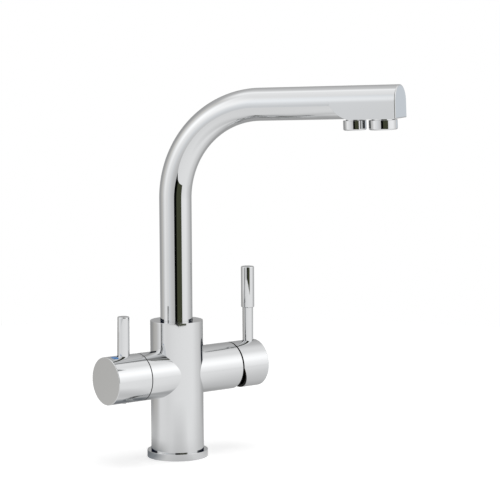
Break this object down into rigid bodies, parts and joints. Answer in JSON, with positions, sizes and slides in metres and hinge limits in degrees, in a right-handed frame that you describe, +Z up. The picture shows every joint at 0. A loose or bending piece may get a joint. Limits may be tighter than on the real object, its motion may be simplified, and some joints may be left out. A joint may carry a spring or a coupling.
{
  "type": "drinking water filter tap",
  "caption": "Three-way kitchen tap with a swivel L spout, a side mixer lever, a small filtered water lever and separate mixed and filtered water outlets.",
  "frame": {"origin": "centre of the hose chamber's mouth, on the worktop under the column's axis", "axes": "+Z up along the column, +X towards the mixer lever, -X towards the filtered water lever, -Y to the user in front"},
  "size_m": [0.1866, 0.2137, 0.3271],
  "materials": {
    "chrome": "polished",
    "brass": "satin",
    "steel": "satin",
    "seal_rubber": "matte",
    "ceramic": "polished",
    "cartridge_plastic": "satin",
    "nozzle_plastic": "satin",
    "bush_plastic": "satin",
    "blue_enamel": "gloss"
  },
  "bodies": {
    "tap_body": {"base_ring": "chrome", "base_seal": "seal_rubber", "body_casting": "chrome", "spout_lock_screw": "steel", "cartridge_base": "cartridge_plastic", "cartridge_seals": "seal_rubber", "fixed_disc": "ceramic", "cartridge_case": "cartridge_plastic", "cartridge_nut": "brass", "filter_valve_body": "brass", "filter_seat_seal": "seal_rubber", "filter_valve_seal": "seal_rubber", "filter_fixed_disc": "ceramic", "filter_tube_seal": "seal_rubber"},
    "spout": {"spout_tube": "chrome", "spout_ferrule": "brass", "spout_bushes": "bush_plastic", "spout_seals": "seal_rubber", "spout_head": "chrome", "mixed_outlet_ring": "chrome", "mixed_outlet_insert": "nozzle_plastic", "mixed_outlet_washer": "seal_rubber", "filter_outlet_ring": "chrome", "filter_outlet_insert": "nozzle_plastic", "filter_outlet_washer": "seal_rubber", "filter_water_tube": "bush_plastic"},
    "mixer_turret": {"cartridge_turret": "cartridge_plastic", "tilt_pin": "steel"},
    "mixer_disc": {"moving_disc": "ceramic", "disc_carrier": "cartridge_plastic"},
    "mixer_lever": {"mixer_spindle": "steel", "mixer_handle_cap": "chrome", "mixer_lever_rod": "chrome", "mixer_lever_sleeve": "chrome", "mixer_grub_screw": "steel"},
    "filter_handle": {"filter_handle_cap": "chrome", "filter_lever": "chrome", "filter_mark": "blue_enamel", "filter_grub_screw": "steel", "filter_spindle": "brass", "filter_turning_disc": "ceramic"}
  },
  "joints": [
    {"name": "spout_swivel", "type": "hinge", "parent": "tap_body", "child": "spout", "pos_m": [0, 0, 0.12], "axis": [0, 0, 1], "continuous": true},
    {"name": "mixer_temperature", "type": "hinge", "parent": "tap_body", "child": "mixer_turret", "pos_m": [0.053, 0, 0.074], "axis": [1, 0, 0], "range_deg": [-45, 45]},
    {"name": "mixer_flow", "type": "hinge", "parent": "mixer_turret", "child": "mixer_lever", "pos_m": [0.053, 0, 0.074], "axis": [0, 1, 0], "range_deg": [0, 22]},
    {"name": "mixer_disc_slide", "type": "slide", "parent": "mixer_turret", "child": "mixer_disc", "axis": [0, 0, 1], "range_m": [0, 0.0036]},
    {"name": "filter_valve_turn", "type": "hinge", "parent": "tap_body", "child": "filter_handle", "pos_m": [0, 0, 0.074], "axis": [1, 0, 0], "range_deg": [0, 90]}
  ],
  "couplings": [
    {"joint": "mixer_disc_slide", "follows": "mixer_flow", "m_per_rad": 0.009}
  ]
}
